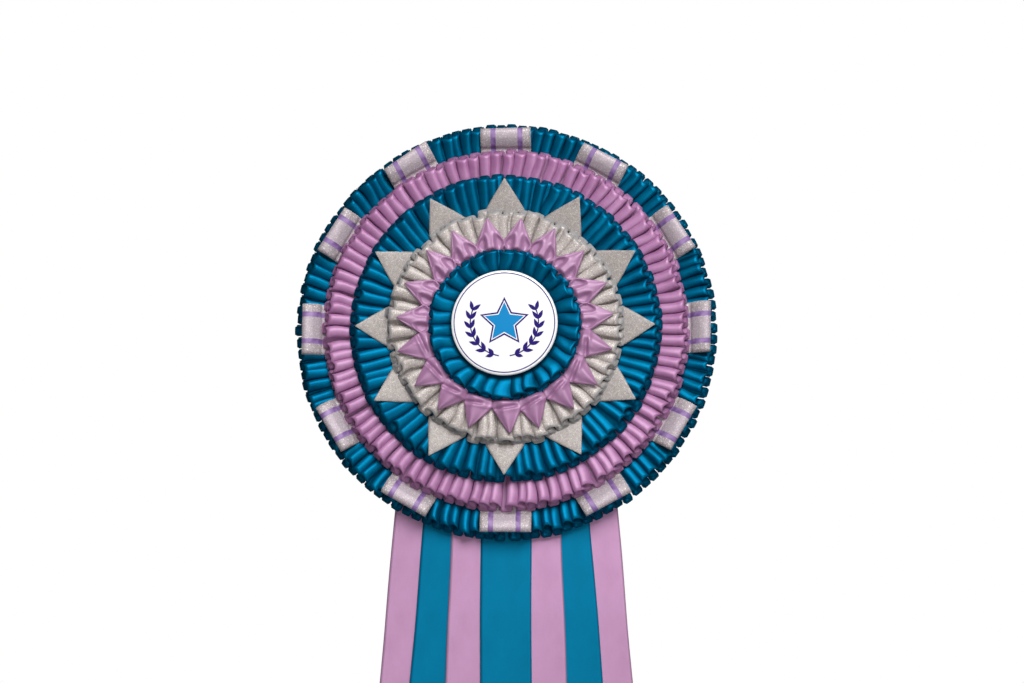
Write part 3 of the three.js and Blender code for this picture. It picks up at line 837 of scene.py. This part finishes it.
rings = [(0, dome(0))]
rings += [(r, dome(r)) for r in np.linspace(3, flat_radius, 14)]
rounded = [badge_radius - ROUND_OVER * (1 - math.sin(t)) for t in np.linspace(0.15, math.pi / 2, 9)]
rings += [(r, dome(r)) for r in rounded]
rings += [(badge_radius - 0.2, badge_rear + 0.2), (badge_radius - 0.8, badge_rear), (0, badge_rear)]
shell = turned_object("badge_shell", rings, BADGE_SEGMENTS)
place(shell, "rosette", white_film, "badge_white", "badge_disc")


def printed(name, outline, material, slot_name, lift, holes=()):
    """A flat shape that stands a lift off the dome, fine enough to follow it."""
    fill = bmesh.new()
    for loop_points in (outline, *holes):
        made = [fill.verts.new((x, 0, z)) for x, z in loop_points]
        for a, b in zip(made, made[1:] + made[:1]):
            fill.edges.new((a, b))
    bmesh.ops.triangle_fill(fill, edges=fill.edges[:], use_beauty=True)
    for _ in range(3):
        long_edges = [e for e in fill.edges if e.calc_length() > LONGEST_EDGE]
        if long_edges:
            bmesh.ops.subdivide_edges(fill, edges=long_edges, cuts=1)
            bmesh.ops.triangulate(fill, faces=fill.faces[:])
    for vert in fill.verts:
        vert.co.y = -(dome(math.hypot(vert.co.x, vert.co.z)) + lift)
    bmesh.ops.recalc_face_normals(fill, faces=fill.faces[:])
    if sum(face.normal.y for face in fill.faces) > 0:
        bmesh.ops.reverse_faces(fill, faces=fill.faces[:])
    mesh = bpy.data.meshes.new(name)
    fill.to_mesh(mesh)
    fill.free()
    mesh.transform(((MM, 0, 0, 0), (0, MM, 0, 0), (0, 0, MM, 0), (0, 0, 0, 1)))
    mesh.polygons.foreach_set("use_smooth", [True] * len(mesh.polygons))
    obj = bpy.data.objects.new(name, mesh)
    bpy.context.scene.collection.objects.link(obj)
    place(obj, "rosette", material, slot_name)


def circle(r):
    n = BADGE_SEGMENTS
    return [(r * math.sin(TAU * i / n), r * math.cos(TAU * i / n)) for i in range(n)]


def star_outline(outer, inner):
    """A five-pointed star, from its top point on."""
    radii = [outer, inner] * 5
    return [(r * math.sin(math.pi * i / 5), r * math.cos(math.pi * i / 5))
            for i, r in enumerate(radii)]


LINE_HALF = 0.36  # half the width of the badge's ring line
line_radius = badge_radius * 0.943
printed("badge_line", circle(line_radius + LINE_HALF), navy_film, "badge_navy", 0.12,
        [circle(line_radius - LINE_HALF)[::-1]])
printed("badge_star_edge", star_outline(18.6, 9.2), navy_film, "badge_navy", 0.05)
printed("badge_star_white", star_outline(16.2, 7.8), white_film, "badge_white", 0.08)
printed("badge_star", star_outline(14.8, 7.0), blue_film, "badge_blue", 0.11)


def leaf(x, z, angle, long, wide):
    """A pointed oval leaf from its base, turned clockwise from straight up."""
    points = []
    n = 10
    for side in (1, -1):
        for i in range(n):
            t = i / n if side == 1 else 1 - i / n
            w = side * wide / 2 * math.sin(math.pi * t) ** 0.85 * (1.2 - 0.5 * t)
            points.append((w, long * t))
    c, s = math.cos(angle), math.sin(angle)
    return [(x + px * c + pz * s, z - px * s + pz * c) for px, pz in points]


def arc_band(r, wide, start, end):
    n = 40
    angles = [start + (end - start) * i / n for i in range(n + 1)]
    outer = [((r + wide / 2) * math.sin(a), (r + wide / 2) * math.cos(a)) for a in angles]
    inner = [((r - wide / 2) * math.sin(a), (r - wide / 2) * math.cos(a)) for a in angles]
    return outer + inner[::-1]


# Two laurel branches rise from the bottom on a circle about the badge's centre.
leaves = 0
branch = 24.6
LEAF_WIDE = 2.9
LEAF_LEAN = 0.55  # from the branch's own direction
for side in (-1, 1):
    foot, top = math.radians(180 - side * 9), math.radians(180 - side * 116)
    printed(f"badge_branch_{'left' if side < 0 else 'right'}", arc_band(branch, 0.9, foot, top),
            navy_film, "badge_navy", 0.05)
    for i in range(7):
        where = math.radians(180 - side * (18 + 15.5 * i))
        x, z = branch * math.sin(where), branch * math.cos(where)
        for lean in (LEAF_LEAN, -LEAF_LEAN):
            leaves += 1
            shape = leaf(x, z, where - side * math.pi / 2 + lean, 7.4 if i else 6.2, LEAF_WIDE)
            printed(f"badge_leaf_{leaves:02d}", shape, navy_film, "badge_navy", 0.07)


# ------------------------------------------------------------------ tails

flex = span("tail_4_lower")[1][2] - 1.5  # the line about which the hanging tails swing
tail_top = span("tail_4_upper")[1][2]
SWALLOW = 16.0  # depth of the cut in a tail's end
CENTRE_BOW = 0.6  # the centre tail hangs straighter than the others
LAYER_LIFT = 0.55  # how far a lower tail lifts off the one behind it
FREE_FROM = 6.0  # how far above the hinge line the tails begin to hang free


def tail_field(x, depth):
    """Forward displacement that all the tails share, growing below the rim."""
    free = smooth(depth / 120)
    wave = 2.0 * np.sin(depth / 46 + 0.6 + x / 170) + 1.1 * np.sin(depth / 25 - x / 140 + 1.9)
    return free * wave


for index in range(7):
    upper, lower = f"tail_{index + 1}_upper", f"tail_{index + 1}_lower"
    (ul, uh), (ll, lh) = span(upper), span(lower)
    rank = index - 3
    s0 = -(uh[1] + ul[1]) / 2
    # The strip's centre line leans outward: the upper node's inner side and the lower node's
    # outer side give its two ends.
    half = WIDE / 2
    if rank == 0:
        x_top = x_end = 0.0
    elif rank > 0:
        x_top, x_end = ul[0] + half, lh[0] - half
    else:
        x_top, x_end = uh[0] - half, ll[0] + half
    z_top, z_end = tail_top, ll[2]
    rows, cols = 130, 18
    b = np.linspace(0, 1, rows)[:, None]
    a = np.linspace(-1, 1, cols + 1)[None, :]
    notch = SWALLOW * (1 - np.abs(a))
    z = z_top + (z_end + notch - z_top) * b
    depth = np.clip(flex + FREE_FROM - z, 0, None)
    middle = x_top + (x_end - x_top) * (z - z_top) / (z_end - z_top)
    bow = 1.2 * np.sin(depth / 90 + index * 1.7) * smooth(depth / 80)
    x = middle + bow * (1 if rank else CENTRE_BOW) + a * (half - 0.25)
    lift = (3 - abs(rank)) * LAYER_LIFT * smooth(depth / 90)
    curled_edges = np.abs(a) ** 3 * 0.25 * smooth(depth / 60)
    s = s0 + tail_field(x, depth) + lift + curled_edges
    P = np.stack(np.broadcast_arrays(x, -s, z), axis=-1)
    along, cloth = cloth_lengths(P, closed=False)
    across = np.broadcast_to((a + 1) / 2 * WIDE, along.shape)
    obj = grid_object(f"ribbon_tail_{index + 1}", P, along, across)
    is_teal = rank % 2 == 0
    kind, slot_name = (teal_hung, "teal_satin") if is_teal else (lilac_hung, "lilac_satin")
    place(obj, None, kind, slot_name, upper, lower)
    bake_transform(obj)


# ------------------------------------------------------------------ CAD nodes that stay visible

for name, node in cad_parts.items():
    if node.hide_render:
        continue
    look = None
    if name in ("pin_bar", "pin_stem", "pin_catch", "hinge_rivet"):
        look = metal
    elif name == "back_cover_card":
        look = cover
    elif name.endswith("_card") or name.startswith("spacer") or name == "backing_board":
        look = greyboard
    if look:
        for slot_index in range(len(node.material_slots)):
            node.material_slots[slot_index].material = look


# ------------------------------------------------------------------ floor, light and camera

FLOOR_DROP, FLOOR_SIZE = 0.02, 12  # metres below the tails' ends, and metres across
floor_z = CAD_BOX[0].z - FLOOR_DROP
bpy.ops.mesh.primitive_plane_add(size=FLOOR_SIZE, location=(0, 0, floor_z))
floor = bpy.context.object
floor.name = "floor"
paint = Nodes("pale_floor")
clouds = paint.noise(paint.add("TexCoord").outputs["Object"], 2.0)
pale = paint.ramp(clouds, [(0.3, (0.86,) * 3), (0.7, (0.88,) * 3)])
# Darker for light that bounces off it, so that the pleats' valleys stay dark.
seen_directly = paint.add("LightPath").outputs["Is Camera Ray"]
paint.set(
    Base_Color=paint.blend(seen_directly, (0.2, 0.2, 0.2, 1), pale),
    Roughness=0.7,
    Emission_Color=(1, 1, 1, 1),
    Emission_Strength=paint.maths("MULTIPLY", seen_directly, 0.45),
)
floor.data.materials.append(paint.material)

scene = bpy.context.scene
world = bpy.data.worlds.new("studio")
scene.world = world
world.use_nodes = True
studio = world.node_tree
backdrop = studio.nodes["Background"]  # as a light
seen = studio.nodes.new("ShaderNodeBackground")  # as the picture's ground
for background, strength in ((backdrop, 0.045), (seen, 1.0)):
    background.inputs["Color"].default_value = (1, 1, 1, 1)
    background.inputs["Strength"].default_value = strength
mix = studio.nodes.new("ShaderNodeMixShader")
rays = studio.nodes.new("ShaderNodeLightPath")
studio.links.new(rays.outputs["Is Camera Ray"], mix.inputs[0])
studio.links.new(backdrop.outputs[0], mix.inputs[1])
studio.links.new(seen.outputs[0], mix.inputs[2])
studio.links.new(mix.outputs[0], studio.nodes["World Output"].inputs["Surface"])


def area_light(name, at, target, size, watts):
    """A soft white panel; lengths in metres."""
    data = bpy.data.lights.new(name, "AREA")
    data.shape = "RECTANGLE"
    data.size, data.size_y = size
    data.energy = watts
    lamp = bpy.data.objects.new(name, data)
    scene.collection.objects.link(lamp)
    lamp.location = at
    lamp.rotation_euler = (Vector(target) - Vector(at)).to_track_quat("-Z", "Y").to_euler()


area_light("key", (0.25, -1.42, 0.91), (0, 0, -0.05), (1.3, 0.92), 34)
area_light("low_fill", (0.4, -1.5, -0.4), (0, 0, 0), (1.2, 0.32), 6)
area_light("behind", (0.3, 1.7, 0.6), (0, 0, -0.1), (1.4, 1.4), 22)

scene.view_settings.view_transform = "Standard"

CAMERA_DISTANCE = 1.77  # metres, from the aim
ELEVATION, AZIMUTH = math.radians(-9.0), math.radians(2.0)
aim = Vector((0.0045, -0.0115, -0.0093))
level_part = math.cos(ELEVATION)
back = Vector((math.sin(AZIMUTH) * level_part, -math.cos(AZIMUTH) * level_part, math.sin(ELEVATION)))
camera_data = bpy.data.cameras.new("camera")
camera_data.lens = 85  # with the distance, the rosette fills the picture as in the photo
camera_data.clip_start = 0.05
camera = bpy.data.objects.new("camera", camera_data)
scene.collection.objects.link(camera)
camera.location = aim + back * CAMERA_DISTANCE
camera.rotation_euler = (-back).to_track_quat("-Z", "Y").to_euler()
scene.camera = camera
